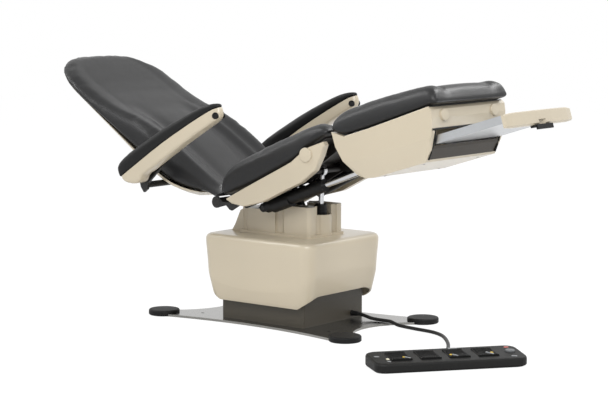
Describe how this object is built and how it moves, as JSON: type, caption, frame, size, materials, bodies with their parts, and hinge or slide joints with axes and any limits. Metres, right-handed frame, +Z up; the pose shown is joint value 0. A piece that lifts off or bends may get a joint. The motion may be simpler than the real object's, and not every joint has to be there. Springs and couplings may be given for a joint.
{
  "type": "podiatry chair",
  "caption": "Powered reclining treatment chair with adjustable back, leg rest, folding arms, pull-out drain tray, lifting column and wired foot control.",
  "frame": {"origin": "on the floor, under the centre of the base plate", "axes": "+X towards the foot end, +Y to the sitter's left, +Z up"},
  "size_m": [2.0315, 0.965, 0.8799],
  "materials": {
    "polished_steel": "dark polished plate",
    "rubber": "moulded rubber",
    "skirt_dark": "dark grey-brown satin paint",
    "steel": "zinc-plated",
    "motor_grey": "grey powder coat",
    "cord_black": "matt black sheath",
    "board_plastic": "charcoal moulded plastic",
    "pedal_rubber": "matt black",
    "button_grey": "grey plastic",
    "beige_cover": "glossy beige shell",
    "cap_beige": "satin beige",
    "frame_black": "black powder coat",
    "motor_black": "black housing",
    "chrome": "chrome-plated",
    "upholstery": "charcoal artificial leather",
    "arm_pad": "charcoal skinned foam",
    "bracket_black": "black satin",
    "plug_black": "black plastic",
    "panel_brown": "dark brown panel",
    "stainless": "brushed stainless steel"
  },
  "bodies": {
    "base": {"base_plate": "polished_steel", "foot_caps": "rubber", "base_skirt": "skirt_dark", "column_base": "steel", "lift_motor": "motor_grey", "cord_gland": "rubber", "pedal_cord": "cord_black", "pedal_board": "board_plastic", "board_pad": "rubber"},
    "lift_middle": {"middle_skirt": "skirt_dark", "column_middle": "steel", "spindle_middle": "steel"},
    "lift": {"base_shroud": "beige_cover", "column_cover": "beige_cover", "column_top": "steel", "spindle_top": "steel", "column_head": "frame_black", "tilt_shaft": "steel"},
    "tilt_cylinder": {"tilt_cylinder": "motor_black"},
    "tilt_rod": {"tilt_rod": "chrome"},
    "seat": {"seat_frame": "frame_black", "seat_pan": "frame_black", "seat_cushion": "upholstery", "seat_cover_right": "beige_cover", "seat_cover_left": "beige_cover", "pivot_caps": "cap_beige", "hinge_brackets": "bracket_black"},
    "back_motor": {"back_motor": "motor_black"},
    "back_rod": {"back_rod": "chrome"},
    "leg_motor": {"leg_motor": "motor_black"},
    "leg_rod": {"leg_rod": "chrome"},
    "back": {"back_frame": "frame_black", "back_shell": "beige_cover", "back_cushion": "upholstery"},
    "arm_hub_right": {"arm_bracket_right": "bracket_black"},
    "arm_hub_left": {"arm_bracket_left": "bracket_black"},
    "arm_right": {"arm_shell_right": "beige_cover", "arm_pad_right": "arm_pad", "arm_plugs_right": "plug_black"},
    "arm_left": {"arm_shell_left": "beige_cover", "arm_pad_left": "arm_pad", "arm_plugs_left": "plug_black"},
    "leg": {"leg_frame": "frame_black", "leg_housing": "beige_cover", "leg_end_panel": "panel_brown", "housing_bosses": "cap_beige", "leg_pan": "frame_black", "leg_cushion": "upholstery", "tray_runners": "steel"},
    "tray": {"drain_tray": "stainless", "tray_front": "beige_cover", "tray_handle": "plug_black"},
    "pedal_1": {"rocker_pedal_1": "pedal_rubber"},
    "pedal_2": {"rocker_pedal_2": "pedal_rubber"},
    "pedal_3": {"rocker_pedal_3": "pedal_rubber"},
    "pedal_4": {"rocker_pedal_4": "pedal_rubber"},
    "stop_button": {"stop_button": "button_grey"}
  },
  "joints": [
    {"name": "lift_slide", "type": "slide", "parent": "base", "child": "lift", "axis": [0, 0, 1], "range_m": [-0.048, 0.284]},
    {"name": "lift_stage", "type": "slide", "parent": "base", "child": "lift_middle", "axis": [0, 0, 1], "range_m": [-0.024, 0.142]},
    {"name": "tilt_hinge", "type": "hinge", "parent": "lift", "child": "seat", "pos_m": [-0.03, 0, 0.43], "axis": [0, 1, 0], "range_deg": [0, 22]},
    {"name": "tilt_cylinder_pivot", "type": "hinge", "parent": "lift", "child": "tilt_cylinder", "pos_m": [0.125, 0, 0.31], "axis": [0, 1, 0], "range_deg": [-0.5, 10]},
    {"name": "tilt_rod_slide", "type": "slide", "parent": "tilt_cylinder", "child": "tilt_rod", "axis": [0.0294, 0, 0.9996], "range_m": [-0.064, 0.0005]},
    {"name": "back_hinge", "type": "hinge", "parent": "seat", "child": "back", "pos_m": [-0.16, 0, 0.412], "axis": [0, 1, 0], "range_deg": [-50, 27]},
    {"name": "back_motor_pivot", "type": "hinge", "parent": "seat", "child": "back_motor", "pos_m": [0.2003, 0.14822, 0.52736], "axis": [0, 1, 0], "range_deg": [-0.76, 0.55]},
    {"name": "back_rod_slide", "type": "slide", "parent": "back_motor", "child": "back_rod", "axis": [-0.8958, 0, -0.4444], "range_m": [-0.0509, 0.0277]},
    {"name": "leg_hinge", "type": "hinge", "parent": "seat", "child": "leg", "pos_m": [0.33, 0, 0.65], "axis": [0, 1, 0], "range_deg": [-3, 65]},
    {"name": "leg_motor_pivot", "type": "hinge", "parent": "seat", "child": "leg_motor", "pos_m": [0.00353, -0.14822, 0.40041], "axis": [0, 1, 0], "range_deg": [-0.46, 3.67]},
    {"name": "leg_rod_slide", "type": "slide", "parent": "leg_motor", "child": "leg_rod", "axis": [0.9407, 0, 0.3392], "range_m": [-0.1588, 0.0078]},
    {"name": "arm_level_right", "type": "hinge", "parent": "back", "child": "arm_hub_right", "pos_m": [-0.38768, -0.2, 0.46425], "axis": [0, 1, 0], "range_deg": [-27, 50]},
    {"name": "arm_level_left", "type": "hinge", "parent": "back", "child": "arm_hub_left", "pos_m": [-0.38768, 0.2, 0.46425], "axis": [0, 1, 0], "range_deg": [-27, 50]},
    {"name": "arm_swing_right", "type": "hinge", "parent": "arm_hub_right", "child": "arm_right", "pos_m": [-0.33781, -0.365, 0.52071], "axis": [0, -1, 0], "range_deg": [0, 100]},
    {"name": "arm_swing_left", "type": "hinge", "parent": "arm_hub_left", "child": "arm_left", "pos_m": [-0.33781, 0.365, 0.52071], "axis": [0, -1, 0], "range_deg": [0, 100]},
    {"name": "tray_slide", "type": "slide", "parent": "leg", "child": "tray", "axis": [0.9563, 0, 0.2924], "range_m": [-0.243, 0.005]},
    {"name": "pedal_tip_1", "type": "hinge", "parent": "base", "child": "pedal_1", "pos_m": [0.7957, -0.46327, 0.033], "axis": [0.6018, 0.7986, 0], "range_deg": [-4, 4], "stiffness_Nm_per_rad": 1.2},
    {"name": "pedal_tip_2", "type": "hinge", "parent": "base", "child": "pedal_2", "pos_m": [0.85106, -0.3898, 0.033], "axis": [0.6018, 0.7986, 0], "range_deg": [-4, 4], "stiffness_Nm_per_rad": 1.2},
    {"name": "pedal_tip_3", "type": "hinge", "parent": "base", "child": "pedal_3", "pos_m": [0.90643, -0.31632, 0.033], "axis": [0.6018, 0.7986, 0], "range_deg": [-4, 4], "stiffness_Nm_per_rad": 1.2},
    {"name": "pedal_tip_4", "type": "hinge", "parent": "base", "child": "pedal_4", "pos_m": [0.9618, -0.24285, 0.033], "axis": [0.6018, 0.7986, 0], "range_deg": [-4, 4], "stiffness_Nm_per_rad": 1.2},
    {"name": "stop_press", "type": "slide", "parent": "base", "child": "stop_button", "axis": [0.0524, -0.0395, 0.9978], "range_m": [-0.003, 0], "stiffness_N_per_m": 400}
  ],
  "couplings": [
    {"joint": "lift_stage", "follows": "lift_slide", "ratio": 0.5},
    {"joint": "tilt_cylinder_pivot", "follows": "tilt_hinge", "ratio": 0.44316},
    {"joint": "tilt_rod_slide", "follows": "tilt_hinge", "m_per_rad": -0.1655},
    {"joint": "back_motor_pivot", "follows": "back_hinge", "ratio": 0.00924},
    {"joint": "back_rod_slide", "follows": "back_hinge", "m_per_rad": 0.057698},
    {"joint": "leg_motor_pivot", "follows": "leg_hinge", "ratio": 0.05191},
    {"joint": "leg_rod_slide", "follows": "leg_hinge", "m_per_rad": -0.13957},
    {"joint": "arm_level_right", "follows": "back_hinge", "ratio": -1},
    {"joint": "arm_level_left", "follows": "back_hinge", "ratio": -1}
  ]
}
